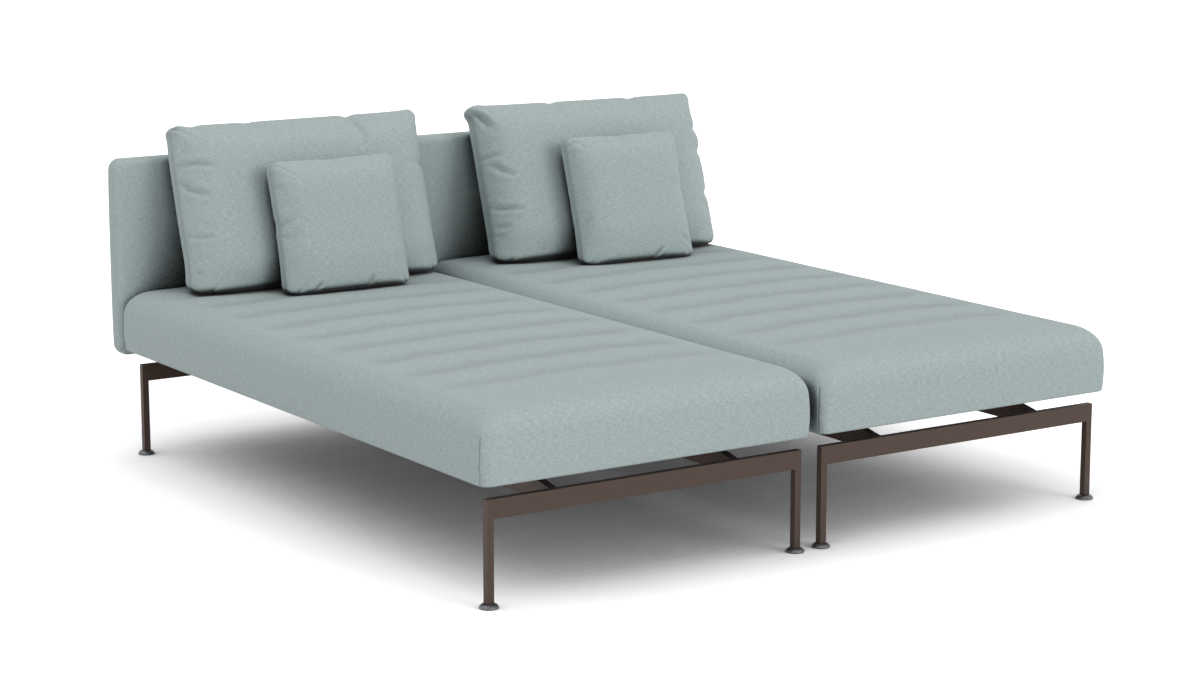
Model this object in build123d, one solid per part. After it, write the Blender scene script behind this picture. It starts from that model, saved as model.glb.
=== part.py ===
from build123d import *
from math import cos, radians, sin, tan
import os

# Double chaise lounger: two matching long seats side by side on slim metal frames.
# Millimetres. Seen from the foot end: +X right, +Y towards the back panel, +Z up.
# The origin lies on the floor, under the middle of the whole length and width.

# The two modules and their frames
module_gap = 15.0
frame_width = 850.0
frame_length = 1760.0

# Square leg tubes and the crossbars on top of them
tube_depth = 17.0
tube_wall = 2.0
leg_length = 188.0
crossbar_height = 44.0
end_cap_thickness = 2.0

# Levelling glides: a domed foot on a threaded stem, and the plug that takes the stem
glide_radius = 22.0
glide_height = 11.0
glide_rim = 3.0
glide_neck_radius = 10.0
glide_sole_bevel = 1.5
glide_travel = 10.0
stem_radius = 4.0
stem_length = 30.0
insert_length = 20.0
thread_clearance = 0.08

# Long rails with tapered noses, set above the crossbars' tops
rail_width = 20.0
rail_height = 50.0
rail_wall = 2.0
rail_rise = 15.0
rail_nose_run = 75.0
rail_offset = 246.0

# Deck slats
slat_count = 12
slat_end_setback = 25.0
slat_width = 60.0
slat_thickness = 15.0
slat_wall = 1.5
slat_edge_radius = 2.0
slat_screw_radius = 2.0
slat_screw_head_radius = 4.5
slat_screw_head_depth = 2.5
slat_screw_tip = 4.0
slat_screw_clearance = 0.1

# Angle brackets, bolts and weld nuts of the frame
bracket_height = 20.0
bracket_rail_leg = 40.0
bracket_bar_leg = 34.0
bracket_thickness = 3.0
bolt_radius = 3.0
bolt_head_radius = 5.5
bolt_head_height = 3.3
bolt_head_round = 1.2
bolt_tip = 1.0
bolt_hole_clearance = 0.3
nut_radius = 5.5
nut_height = 5.0

# Bars that link the two modules under their inner rails, and their larger bolts
link_bar_width = 30.0
link_bar_thickness = 5.0
link_bar_overlap = 8.0
link_front_setback = 420.0
link_rear_setback = 400.0
link_bolt_radius = 4.0
link_bolt_head_radius = 7.0
link_bolt_head_height = 4.4
link_nut_radius = 6.8
link_nut_height = 6.5

# Back panel: upholstery over a board, on two posts behind the rear crossbar
panel_side_overhang = 22.0
panel_height = 526.0
panel_thickness = 60.0
panel_drop = 19.0
panel_rear_overhang = 126.0
panel_edge_radius = 20.0
panel_corner_radius = 36.0
panel_side_draw = 2.0
board_thickness = 12.0
board_margin = 26.0
post_width = 40.0
post_plate = 8.0
post_height = 400.0
post_flange_width = 46.0
post_flange_height = 40.0
post_flange_plate = 4.0
post_web_height = 30.0
post_bolt_spread = 15.0
post_bolt_low = 95.0
post_bolt_high = 30.0
board_bolt_depth = 10.0

# Seat cushion: a long box cushion with rounded edges and a crowned top
seat_side_overhang = 22.0
seat_front_overhang = 24.0
seat_thickness = 167.0
seat_crown = 8.0
seat_crown_run = 105.0
seat_top_round = 38.0
seat_bottom_round = 14.0
seat_corner_radius = 18.0
seat_side_bulge = 3.0
seat_side_draw = 3.0

# Back cushion: a loose cushion whose two faces meet at a seam all round
back_width = 728.0
back_height = 472.0
back_thickness = 166.0
back_dome_run = 95.0
back_side_draw = 12.0
back_corner_radius = 20.0
left_back_shift = 50.0
left_back_lean_degrees = 16.5
left_back_turn_degrees = 0.0
left_back_press = 28.0
right_back_shift = 47.0
right_back_lean_degrees = 19.5
right_back_turn_degrees = -3.5
right_back_press = 20.0

# Throw pillow: a small one, made the same way
pillow_width = 354.0
pillow_height = 366.0
pillow_thickness = 124.0
pillow_dome_run = 84.0
pillow_side_draw = 10.0
pillow_corner_radius = 14.0
pillow_press = 10.0
left_pillow_shift = 45.0
left_pillow_lean_degrees = 18.5
right_pillow_shift = 58.0
right_pillow_lean_degrees = 20.5

# How soft pieces lie: the gaps to what carries them and to what they lean on
soft_gap = 0.3
lean_gap = 0.6

# All cuts run past the face they leave by this much
overrun = 5.0

# Degrees at which the rounded forms are sliced, and the middle of a quarter round as a share
quarter_angles = (0, 30, 60, 90)
dome_angles = (0, 12, 24, 38, 54, 72, 90)
dome_corner_share = 0.2
dome_straighten_share = 0.8
corner_mid_share = 1 - cos(radians(45))

# Widths that follow the frame's
slat_length = frame_width - 2 * slat_end_setback
seat_width = frame_width + 2 * seat_side_overhang
panel_width = frame_width + 2 * panel_side_overhang
module_pitch = panel_width + module_gap

# Levels from the floor up
leg_bottom = glide_height
crossbar_bottom = leg_bottom + leg_length
crossbar_top = crossbar_bottom + crossbar_height
rail_top = crossbar_top + rail_rise
rail_bottom = rail_top - rail_height
deck_top = rail_top + slat_thickness
seat_bottom = deck_top + soft_gap
seat_top = seat_bottom + seat_thickness
panel_bottom = deck_top - panel_drop
panel_top = panel_bottom + panel_height

# Places along the length, from the foot end back
overall_length = seat_front_overhang + frame_length + panel_rear_overhang
seat_front_y = -overall_length / 2
frame_front_y = seat_front_y + seat_front_overhang
frame_rear_y = frame_front_y + frame_length
rail_front_y = frame_front_y + tube_depth
rail_rear_y = frame_rear_y - tube_depth
panel_rear_y = frame_rear_y + panel_rear_overhang
panel_front_y = panel_rear_y - panel_thickness
seat_rear_y = panel_front_y - soft_gap
board_front_y = panel_front_y + (panel_thickness - board_thickness) / 2
post_front_y = board_front_y + board_thickness
post_rear_y = post_front_y + post_plate
post_base = crossbar_bottom + (crossbar_height - post_flange_height) / 2
post_top = post_base + post_height

SIDES = {"left": -1, "right": 1}
PLACES = {"outer": 1, "inner": -1}
pieces = {}


def block(x_range, y_range, z_range):
    """A plain block between two planes on each axis."""
    size = [high - low for low, high in (x_range, y_range, z_range)]
    middle = [(high + low) / 2 for low, high in (x_range, y_range, z_range)]
    return Pos(*middle) * Box(*size)


def centred(middle, size):
    """The two ends of a stretch of a given size round its middle."""
    return (middle - size / 2, middle + size / 2)


def rod(start, direction, radius, length):
    """A round rod from a start point along a direction."""
    return Plane(start, z_dir=direction) * Cylinder(
        radius, length, align=(Align.CENTER, Align.CENTER, Align.MIN)
    )


def group(solids):
    """Separate solids kept in one node."""
    return Compound(children=solids)


def keep(name, shape):
    pieces[name] = shape


def button_bolt(seat, direction, radius, head_radius, head_height, length):
    """A bolt whose head sits at a point and whose shank runs along a direction."""
    outline = Polyline(
        (0, -head_height),
        (head_radius - bolt_head_round, -head_height),
        (head_radius, bolt_head_round - head_height),
        (head_radius, 0),
        (radius, 0),
        (radius, length),
        (0, length),
        close=True,
    )
    turned = revolve(Plane.XZ * make_face(outline), Axis.Z)
    return Plane(seat, z_dir=direction) * turned


def frame_bolt(seat, direction, grip):
    """One of the frame's bolts, long enough for what it clamps and its nut."""
    length = grip + nut_height + bolt_tip
    return button_bolt(seat, direction, bolt_radius, bolt_head_radius, bolt_head_height, length)


def ring_nut(seat, direction, outer, bore, height):
    """A round weld nut that stands on a point along a direction."""
    return rod(seat, direction, outer, height) - rod(seat, direction, bore, height)


def frame_nut(seat, direction):
    return ring_nut(seat, direction, nut_radius, bolt_radius + thread_clearance, nut_height)


def frame_hole(seat, direction, depth):
    """The clearance hole that a frame bolt passes, cut both ways from a point."""
    radius = bolt_radius + bolt_hole_clearance
    start = Vector(*seat) - Vector(*direction) * overrun
    return rod(start, direction, radius, overrun + depth)


def link_hole(seat, depth):
    """The hole of a link bolt or its nut, straight up from a point."""
    start = Vector(*seat) - Vector(0, 0, overrun)
    return rod(start, (0, 0, 1), link_bolt_radius + thread_clearance, overrun + depth)


def slat_screw(point, clearance):
    """A countersunk screw, its head flush with a point on the slat's top."""
    head = slat_screw_head_radius + clearance
    shank = slat_screw_radius + clearance
    tip = slat_thickness + rail_wall + slat_screw_tip + clearance
    outline = Polyline(
        (0, 0),
        (head, 0),
        (shank, -slat_screw_head_depth),
        (shank, -tip),
        (0, -tip),
        close=True,
    )
    return Pos(*point) * revolve(Plane.XZ * make_face(outline), Axis.Z)


def bowed_ring(half_x, half_y, draw, corner, level, straight_foot=False):
    """A closed outline with round corners and sides drawn in at their middle."""
    run_x = half_x - corner
    run_y = half_y - corner
    near = corner * corner_mid_share
    mid_x = half_x - near
    mid_y = half_y - near
    foot = [(-run_x, -half_y), (0, draw - half_y), (run_x, -half_y)]
    if straight_foot:
        foot.pop(1)
    sides = (
        ((half_x, -run_y), (half_x - draw, 0), (half_x, run_y)),
        ((half_x, run_y), (mid_x, mid_y), (run_x, half_y)),
        ((run_x, half_y), (0, half_y - draw), (-run_x, half_y)),
        ((-run_x, half_y), (-mid_x, mid_y), (-half_x, run_y)),
        ((-half_x, run_y), (draw - half_x, 0), (-half_x, -run_y)),
        ((-half_x, -run_y), (-mid_x, -mid_y), (-run_x, -half_y)),
        foot,
        ((run_x, -half_y), (mid_x, -mid_y), (half_x, -run_y)),
    )
    edges = []
    for side in sides:
        points = [(x, y, level) for x, y in side]
        edges.append(ThreePointArc(*points) if len(points) == 3 else Line(*points))
    return Wire(edges)


def box_cushion():
    """A crowned box cushion on z = 0, its plan centred on the origin."""
    half_x = seat_width / 2
    half_y = (seat_rear_y - seat_front_y) / 2
    shoulder = seat_thickness - seat_crown
    edge_inset = seat_side_bulge + seat_top_round
    levels = []
    for angle in quarter_angles:
        inset = seat_bottom_round * (1 - sin(radians(angle))) + seat_side_bulge
        levels.append((seat_bottom_round * (1 - cos(radians(angle))), inset))
    levels.append((seat_thickness / 2, 0))
    for angle in quarter_angles:
        inset = seat_top_round * (1 - cos(radians(angle))) + seat_side_bulge
        levels.append((shoulder - seat_top_round * (1 - sin(radians(angle))), inset))
    for angle in quarter_angles[1:]:
        inset = edge_inset + (seat_crown_run - edge_inset) * angle / quarter_angles[-1]
        levels.append((shoulder + seat_crown * sin(radians(angle)), inset))
    rings = [
        bowed_ring(half_x - inset, half_y - inset, seat_side_draw, seat_corner_radius + inset / 3, level)
        for level, inset in levels
    ]
    return Solid.make_loft(rings, ruled=True)


def loose_cushion(width, height, thickness, dome_run, draw, corner):
    """A seamed cushion: its lower edge on the X axis, standing up Y, its front along Z."""
    halves = []
    for front in (1, -1):
        rings = []
        for angle in dome_angles:
            rise = sin(radians(angle))
            inset = dome_run * (1 - cos(radians(angle)))
            drawn = draw * (1 - rise * dome_straighten_share)
            level = front * thickness / 2 * rise
            round_off = corner + inset * dome_corner_share
            half_x = width / 2 - inset
            half_y = height / 2 - inset
            rings.append(bowed_ring(half_x, half_y, drawn, round_off, level, straight_foot=True))
        halves.append(Solid.make_loft(rings, ruled=True))
    return Pos(0, height / 2, 0) * (halves[0] + halves[1])


def leaned(cushion, foot, press, lean, turn):
    """Stands a loose cushion on the seat, leaning back, with its foot pressed flat."""
    across = (cos(radians(turn)), sin(radians(turn)), 0)
    flat = cos(radians(lean))
    front = (flat * sin(radians(turn)), -flat * cos(radians(turn)), sin(radians(lean)))
    rest = seat_top + soft_gap
    placed = Plane((*foot, rest - press), x_dir=across, z_dir=front) * cushion
    reach = back_width + back_thickness
    return placed - block(centred(foot[0], 2 * reach), centred(foot[1], 2 * reach), (0, rest))


def upholstered_panel(centre_x):
    """The padded back panel with the pockets for its board and its two posts."""
    half_x = panel_width / 2
    half_z = panel_height / 2
    levels = []
    for angle in quarter_angles:
        inset = panel_edge_radius * (1 - sin(radians(angle)))
        levels.append((panel_edge_radius * (1 - cos(radians(angle))), inset))
    levels += [(panel_thickness - level, inset) for level, inset in reversed(levels)]
    rings = [
        bowed_ring(half_x - inset, half_z - inset, panel_side_draw, panel_corner_radius - inset / 2, level)
        for level, inset in levels
    ]
    middle = (centre_x, panel_front_y, panel_bottom + half_z)
    padding = Plane(middle, x_dir=(1, 0, 0), z_dir=(0, 1, 0)) * Solid.make_loft(rings, ruled=True)
    padding -= panel_board(centre_x)
    slot_rear = post_rear_y + bolt_head_height + soft_gap
    for offset in (-rail_offset, rail_offset):
        padding -= block(
            centred(centre_x + offset, post_width + 2 * soft_gap),
            (post_front_y, slot_rear),
            (panel_bottom - overrun, post_top + soft_gap),
        )
    return padding


def panel_board(centre_x):
    """The stiff board inside the panel, before its bolt holes."""
    return block(
        centred(centre_x, panel_width - 2 * board_margin),
        (board_front_y, post_front_y),
        (panel_bottom + board_margin, panel_top - board_margin),
    )


def post_bolt_heights():
    """Heights of the bolts that join each post to the board."""
    return (panel_bottom + post_bolt_low, post_top - post_bolt_high)


def crossbar(centre_x, front_y):
    """A rectangular tube across the legs, open at its ends."""
    half = frame_width / 2 - end_cap_thickness
    outer = block(
        centred(centre_x, 2 * half), (front_y, front_y + tube_depth), (crossbar_bottom, crossbar_top)
    )
    inner = block(
        centred(centre_x, 2 * half + overrun),
        (front_y + tube_wall, front_y + tube_depth - tube_wall),
        (crossbar_bottom + tube_wall, crossbar_top - tube_wall),
    )
    return outer - inner


def end_caps(centre_x, front_y):
    """The two plates that close a crossbar."""
    caps = []
    for sign in (-1, 1):
        outer_x = centre_x + sign * frame_width / 2
        inner_x = outer_x - sign * end_cap_thickness
        caps.append(
            block(
                sorted((inner_x, outer_x)),
                (front_y, front_y + tube_depth),
                (crossbar_bottom, crossbar_top),
            )
        )
    return caps


def leg(centre_x, centre_y):
    """A square leg tube."""
    outer = Box(tube_depth, tube_depth, leg_length)
    bore = tube_depth - 2 * tube_wall
    inner = Box(bore, bore, leg_length + overrun)
    return Pos(centre_x, centre_y, leg_bottom + leg_length / 2) * (outer - inner)


def leg_insert(centre_x, centre_y):
    """The plug in a leg's lower end, bored for the glide's stem."""
    side = tube_depth - 2 * tube_wall
    plug = Box(side, side, insert_length)
    plug -= Cylinder(stem_radius + thread_clearance, insert_length)
    return Pos(centre_x, centre_y, leg_bottom + insert_length / 2) * plug


def glide(centre_x, centre_y):
    """A domed foot turned with its stem."""
    sole = glide_radius - glide_sole_bevel
    stem_top = glide_height + stem_length
    outline = [
        Line((0, 0), (sole, 0)),
        Line((sole, 0), (glide_radius, glide_sole_bevel)),
        Line((glide_radius, glide_sole_bevel), (glide_radius, glide_rim)),
        TangentArc((glide_neck_radius, glide_height), (glide_radius, glide_rim), tangent=(1, 0)),
        Line((glide_neck_radius, glide_height), (stem_radius, glide_height)),
        Line((stem_radius, glide_height), (stem_radius, stem_top)),
        Line((stem_radius, stem_top), (0, stem_top)),
        Line((0, stem_top), (0, 0)),
    ]
    return Pos(centre_x, centre_y, 0) * revolve(Plane.XZ * make_face(outline), Axis.Z)


def rail_outline(inset):
    """A rail seen from its side: flat below, with a taper at each end of its top."""
    fall = rail_rise - inset
    slope = rail_rise / rail_nose_run
    shift = inset * slope / 2
    reach = overrun if inset else 0
    top = rail_top - inset
    low_top = top - rail_rise - reach * slope
    return Polyline(
        (rail_front_y - reach, rail_bottom + inset),
        (rail_rear_y + reach, rail_bottom + inset),
        (rail_rear_y + reach, low_top),
        (rail_rear_y - rail_nose_run - shift, top),
        (rail_front_y + rail_nose_run + shift, top),
        (rail_front_y - reach, low_top),
        close=True,
    )


def rail_tube(centre_x):
    """A rail's hollow section, open at both ends against the crossbars."""
    outer = extrude(Plane.YZ * make_face(rail_outline(0)), rail_width / 2, both=True)
    hollow = rail_width / 2 - rail_wall
    inner = extrude(Plane.YZ * make_face(rail_outline(rail_wall)), hollow, both=True)
    return Pos(centre_x, 0, 0) * (outer - inner)


def slat_places():
    """The middle of each slat along the length."""
    first = rail_front_y + rail_nose_run + slat_width / 2
    last = rail_rear_y - rail_nose_run - slat_width / 2
    step = (last - first) / (slat_count - 1)
    return [first + step * index for index in range(slat_count)]


def slat(centre_x, centre_y):
    """A flat hollow slat across the rails."""
    outer = Box(slat_length, slat_width, slat_thickness)
    outer = fillet(outer.edges().filter_by(Axis.X), slat_edge_radius)
    inner = Box(slat_length + overrun, slat_width - 2 * slat_wall, slat_thickness - 2 * slat_wall)
    return Pos(centre_x, centre_y, deck_top - slat_thickness / 2) * (outer - inner)


def bracket(rail_face_x, toward, bar_face_y, away):
    """An angle bracket in the corner of a rail and a crossbar."""
    levels = (rail_bottom, rail_bottom + bracket_height)
    rail_leg = block(
        sorted((rail_face_x, rail_face_x + toward * bracket_thickness)),
        sorted((bar_face_y, bar_face_y + away * bracket_rail_leg)),
        levels,
    )
    bar_leg = block(
        sorted((rail_face_x, rail_face_x + toward * bracket_bar_leg)),
        sorted((bar_face_y, bar_face_y + away * bracket_thickness)),
        levels,
    )
    return rail_leg + bar_leg


def bracket_bolt_places(rail_face_x, toward, bar_face_y, away):
    """Seats, on the bracket's outside, of its rail bolt and its crossbar bolt."""
    middle = rail_bottom + bracket_height / 2
    rail_y = bar_face_y + away * (bracket_rail_leg - bracket_height / 2)
    bar_x = rail_face_x + toward * (bracket_bar_leg - bracket_height / 2)
    rail_bolt = ((rail_face_x + toward * bracket_thickness, rail_y, middle), (-toward, 0, 0))
    bar_bolt = ((bar_x, bar_face_y + away * bracket_thickness, middle), (0, -away, 0))
    return rail_bolt, bar_bolt


def post(centre_x):
    """A welded bracket: flange on the rear crossbar, web behind it, blade up the panel."""
    flange = block(
        centred(centre_x, post_flange_width),
        (frame_rear_y, frame_rear_y + post_flange_plate),
        (post_base, post_base + post_flange_height),
    )
    web = block(
        centred(centre_x, post_plate),
        (frame_rear_y + post_flange_plate, post_front_y),
        (post_base, post_base + post_web_height),
    )
    blade = block(centred(centre_x, post_width), (post_front_y, post_rear_y), (post_base, post_top))
    return flange + web + blade


def moved(point, direction, distance):
    """A point moved along a unit direction."""
    return tuple(p + d * distance for p, d in zip(point, direction))


def link_places():
    """The two stations along the length where link bars or bolts can go."""
    return (frame_front_y + link_front_setback, frame_rear_y - link_rear_setback)


def build_module(side, sign):
    """All the pieces of one module; its outer side faces away from the other module."""
    centre_x = sign * module_pitch / 2
    bars = {"front": frame_front_y, "rear": frame_rear_y - tube_depth}
    bar_solids = {name: crossbar(centre_x, y) for name, y in bars.items()}
    rail_x = {place: centre_x + sign * way * rail_offset for place, way in PLACES.items()}
    rails = {place: rail_tube(x) for place, x in rail_x.items()}
    brackets, bolts, nuts, inserts, caps = [], [], [], [], []

    for name, front_y in bars.items():
        caps += end_caps(centre_x, front_y)
        away = 1 if name == "front" else -1
        face_y = rail_front_y if name == "front" else rail_rear_y
        for place, way in PLACES.items():
            toward = -sign * way
            face_x = rail_x[place] + toward * rail_width / 2
            corner = bracket(face_x, toward, face_y, away)
            rail_bolt, bar_bolt = bracket_bolt_places(face_x, toward, face_y, away)
            for seat, direction in (rail_bolt, bar_bolt):
                hole = frame_hole(seat, direction, bracket_thickness + rail_wall + overrun)
                corner -= hole
                bolts.append(frame_bolt(seat, direction, bracket_thickness + rail_wall))
                inside = moved(seat, direction, bracket_thickness + rail_wall)
                nuts.append(frame_nut(inside, direction))
                if direction[1] == 0:
                    rails[place] -= hole
                else:
                    bar_solids[name] -= hole
            brackets.append(corner)
            leg_x = centre_x + sign * way * (frame_width - tube_depth) / 2
            leg_y = front_y + tube_depth / 2
            keep(f"{side}_{name}_{place}_leg", leg(leg_x, leg_y))
            keep(f"{side}_{name}_{place}_glide", glide(leg_x, leg_y))
            inserts.append(leg_insert(leg_x, leg_y))

    board = panel_board(centre_x)
    for place, x in rail_x.items():
        upright = post(x)
        for offset in (-post_bolt_spread, post_bolt_spread):
            height = post_base + post_flange_height / 2
            seat = (x + offset, frame_rear_y + post_flange_plate, height)
            hole = frame_hole(seat, (0, -1, 0), post_flange_plate + tube_wall + overrun)
            upright -= hole
            bar_solids["rear"] -= hole
            bolts.append(frame_bolt(seat, (0, -1, 0), post_flange_plate + tube_wall))
            inside = moved(seat, (0, -1, 0), post_flange_plate + tube_wall)
            nuts.append(frame_nut(inside, (0, -1, 0)))
        for height in post_bolt_heights():
            seat = (x, post_rear_y, height)
            upright -= frame_hole(seat, (0, -1, 0), post_plate)
            length = post_plate + board_bolt_depth
            start = moved(seat, (0, -1, 0), post_plate)
            board -= rod(start, (0, -1, 0), bolt_radius + thread_clearance, board_thickness)
            bolts.append(
                button_bolt(
                    seat, (0, -1, 0), bolt_radius, bolt_head_radius, bolt_head_height, length
                )
            )
        keep(f"{side}_{place}_back_post", upright)

        for y in link_places():
            rails[place] -= link_hole((x, y, rail_bottom), rail_wall + overrun)
            nuts.append(
                ring_nut(
                    (x, y, rail_bottom + rail_wall),
                    (0, 0, 1),
                    link_nut_radius,
                    link_bolt_radius + thread_clearance,
                    link_nut_height,
                )
            )

    slats, screws = [], []
    for y in slat_places():
        one = slat(centre_x, y)
        for place, x in rail_x.items():
            hole = slat_screw((x, y, deck_top), slat_screw_clearance)
            one -= hole
            rails[place] -= hole
            screws.append(slat_screw((x, y, deck_top), 0))
        slats.append(one)

    for name, solid in bar_solids.items():
        keep(f"{side}_{name}_crossbar", solid)
    for place, solid in rails.items():
        keep(f"{side}_{place}_rail", solid)
    keep(f"{side}_crossbar_end_caps", group(caps))
    keep(f"{side}_leg_inserts", group(inserts))
    keep(f"{side}_rail_brackets", group(brackets))
    keep(f"{side}_frame_bolts", group(bolts))
    keep(f"{side}_weld_nuts", group(nuts))
    keep(f"{side}_deck_slats", group(slats))
    keep(f"{side}_slat_screws", group(screws))
    keep(f"{side}_back_panel_board", board)
    keep(f"{side}_back_panel_upholstery", upholstered_panel(centre_x))


def back_foot_setback(lean, press):
    """From the panel's front to the back cushion's seam at its foot."""
    edge_height = panel_top - panel_edge_radius - (seat_top + soft_gap - press)
    square = back_thickness / 2 + lean_gap + panel_edge_radius + edge_height * sin(radians(lean))
    return square / cos(radians(lean)) - panel_edge_radius


def pillow_foot_setback(back_lean, back_press, pillow_lean):
    """From the back cushion's seam at its foot to the throw pillow's."""
    back, own = radians(back_lean), radians(pillow_lean)
    touch = pillow_height - pillow_dome_run
    half = pillow_thickness / 2
    rise = back_press - pillow_press + touch * cos(own) - half * sin(own)
    square = back_thickness / 2 + lean_gap - rise * sin(back)
    return square / cos(back) + touch * sin(own) + half * cos(own)


def build_soft_pieces(side, sign, back_place, pillow_place):
    """The seat cushion and the two loose cushions of one module."""
    centre_x = sign * module_pitch / 2
    middle_y = (seat_front_y + seat_rear_y) / 2
    keep(f"{side}_seat_cushion", Pos(centre_x, middle_y, seat_bottom) * box_cushion())
    back_shift, back_lean, back_turn, back_press = back_place
    pillow_shift, pillow_lean = pillow_place
    back = loose_cushion(
        back_width, back_height, back_thickness, back_dome_run, back_side_draw, back_corner_radius
    )
    swing = (back_width / 2 - back_dome_run) * abs(sin(radians(back_turn)))
    back_y = panel_front_y - back_foot_setback(back_lean, back_press) - swing
    back_foot = (centre_x + back_shift, back_y)
    keep(f"{side}_back_cushion", leaned(back, back_foot, back_press, back_lean, back_turn))
    pillow = loose_cushion(
        pillow_width,
        pillow_height,
        pillow_thickness,
        pillow_dome_run,
        pillow_side_draw,
        pillow_corner_radius,
    )
    follow = (pillow_shift - back_shift) * tan(radians(back_turn))
    setback = pillow_foot_setback(back_lean, back_press, pillow_lean) / cos(radians(back_turn))
    pillow_foot = (centre_x + pillow_shift, back_y - setback + follow)
    keep(
        f"{side}_throw_pillow", leaned(pillow, pillow_foot, pillow_press, pillow_lean, back_turn)
    )


def build_links():
    """The two bars that hold the modules side by side, with their bolts."""
    reach = module_pitch / 2 - rail_offset + rail_width / 2 + link_bar_overlap
    bolts = []
    for name, y in zip(("front", "rear"), link_places()):
        bar = block(
            (-reach, reach), centred(y, link_bar_width), (rail_bottom - link_bar_thickness, rail_bottom)
        )
        for sign in (-1, 1):
            x = sign * (module_pitch / 2 - rail_offset)
            seat = (x, y, rail_bottom - link_bar_thickness)
            bar -= link_hole(seat, link_bar_thickness + overrun)
            length = link_bar_thickness + rail_wall + link_nut_height + bolt_tip
            bolts.append(
                button_bolt(
                    seat,
                    (0, 0, 1),
                    link_bolt_radius,
                    link_bolt_head_radius,
                    link_bolt_head_height,
                    length,
                )
            )
        keep(f"{name}_link_bar", bar)
    keep("link_bolts", group(bolts))


back_places = {
    "left": (left_back_shift, left_back_lean_degrees, left_back_turn_degrees, left_back_press),
    "right": (right_back_shift, right_back_lean_degrees, right_back_turn_degrees, right_back_press),
}
pillow_places = {
    "left": (left_pillow_shift, left_pillow_lean_degrees),
    "right": (right_pillow_shift, right_pillow_lean_degrees),
}
for side, sign in SIDES.items():
    build_module(side, sign)
    build_soft_pieces(side, sign, back_places[side], pillow_places[side])
build_links()

os.makedirs("parts", exist_ok=True)
for name, shape in pieces.items():
    export_step(shape, f"parts/{name}.step")
print(len(pieces), "nodes; overall length", overall_length)
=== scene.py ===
# %% [markdown]
# # A double chaise lounger, dressed and lit
# Two chaises stand side by side. Each is a steel frame with a slatted deck, a padded back panel,
# one long seat cushion, a large loose back cushion and a throw pillow. The frame, the deck, the
# feet and the fastenings come from the CAD model as they are. This script gives them their
# finishes, sews the upholstery over its plain soft solids, and sets up the light and the camera.
# Lengths are in millimetres wherever a cover is shaped, and MM turns them into Blender's metres.

# %% Load the assembled part
import math

import bpy
import numpy as np
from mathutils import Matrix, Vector
from mathutils.bvhtree import BVHTree


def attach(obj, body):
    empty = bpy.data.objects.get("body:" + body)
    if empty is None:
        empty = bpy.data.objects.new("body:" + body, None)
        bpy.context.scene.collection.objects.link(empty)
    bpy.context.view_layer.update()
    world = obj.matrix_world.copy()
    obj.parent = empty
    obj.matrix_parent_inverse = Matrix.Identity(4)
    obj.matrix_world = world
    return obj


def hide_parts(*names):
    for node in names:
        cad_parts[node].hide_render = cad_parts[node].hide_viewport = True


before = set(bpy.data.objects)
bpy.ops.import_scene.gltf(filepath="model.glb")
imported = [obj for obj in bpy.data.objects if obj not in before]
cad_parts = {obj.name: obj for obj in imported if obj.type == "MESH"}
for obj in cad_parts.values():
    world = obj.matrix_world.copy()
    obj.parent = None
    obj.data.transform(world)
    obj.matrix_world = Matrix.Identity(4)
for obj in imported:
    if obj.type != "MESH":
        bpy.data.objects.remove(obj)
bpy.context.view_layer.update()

scene = bpy.context.scene
MM = 0.001
SIDES = {"left": -1, "right": 1}
print("nodes loaded:", len(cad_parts))

# %% [markdown]
# ## Finishes
# A finish is a small tree of nodes that ends in one shader. It could use painted pictures, but
# those need unwrapping and blur up close, so every finish here is worked out from noise and waves
# at its real size. These helpers each add one step to such a tree.

# %% A new material, and sums and places in it
def new_material(name):
    """A new material whose tree holds a shader joined to the output."""
    material = bpy.data.materials.new(name)
    material.use_nodes = True
    tree = material.node_tree
    tree.nodes.clear()
    shader = tree.nodes.new("ShaderNodeBsdfPrincipled")
    output = tree.nodes.new("ShaderNodeOutputMaterial")
    tree.links.new(shader.outputs["BSDF"], output.inputs["Surface"])
    return material, tree, shader


def math_node(tree, operation, first, second=None):
    """One arithmetic step; its inputs are numbers or sockets."""
    node = tree.nodes.new("ShaderNodeMath")
    node.operation = operation
    for socket, value in zip(node.inputs, (first, second)):
        if value is None:
            continue
        if isinstance(value, (int, float)):
            socket.default_value = value
        else:
            tree.links.new(value, socket)
    return node.outputs[0]


def scaled_place(tree, place, scale):
    """The place on the object multiplied by a scale along each axis."""
    node = tree.nodes.new("ShaderNodeVectorMath")
    node.operation = "MULTIPLY"
    tree.links.new(place, node.inputs[0])
    node.inputs[1].default_value = scale
    return node.outputs[0]

# %% Noise, colours and relief
def noise(tree, place, scale, detail=2.0, roughness=0.5):
    """Smooth random tone at a place, about 0 to 1."""
    node = tree.nodes.new("ShaderNodeTexNoise")
    node.inputs["Scale"].default_value = scale
    node.inputs["Detail"].default_value = detail
    node.inputs["Roughness"].default_value = roughness
    tree.links.new(place, node.inputs["Vector"])
    return node.outputs["Fac"]


def colour_ramp(tree, tone, stops):
    """Colours spread over a tone; stops are (position, colour)."""
    node = tree.nodes.new("ShaderNodeValToRGB")
    ramp = node.color_ramp
    ramp.elements[0].position, ramp.elements[0].color = stops[0][0], (*stops[0][1], 1)
    ramp.elements[1].position, ramp.elements[1].color = stops[-1][0], (*stops[-1][1], 1)
    for position, colour in stops[1:-1]:
        ramp.elements.new(position).color = (*colour, 1)
    tree.links.new(tone, node.inputs["Fac"])
    return node.outputs["Color"]


def bump(tree, shader, height, distance, strength=1.0):
    """Relief from a height in the shader's normal."""
    node = tree.nodes.new("ShaderNodeBump")
    node.inputs["Distance"].default_value = distance
    node.inputs["Strength"].default_value = strength
    tree.links.new(height, node.inputs["Height"])
    tree.links.new(node.outputs["Normal"], shader.inputs["Normal"])

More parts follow.
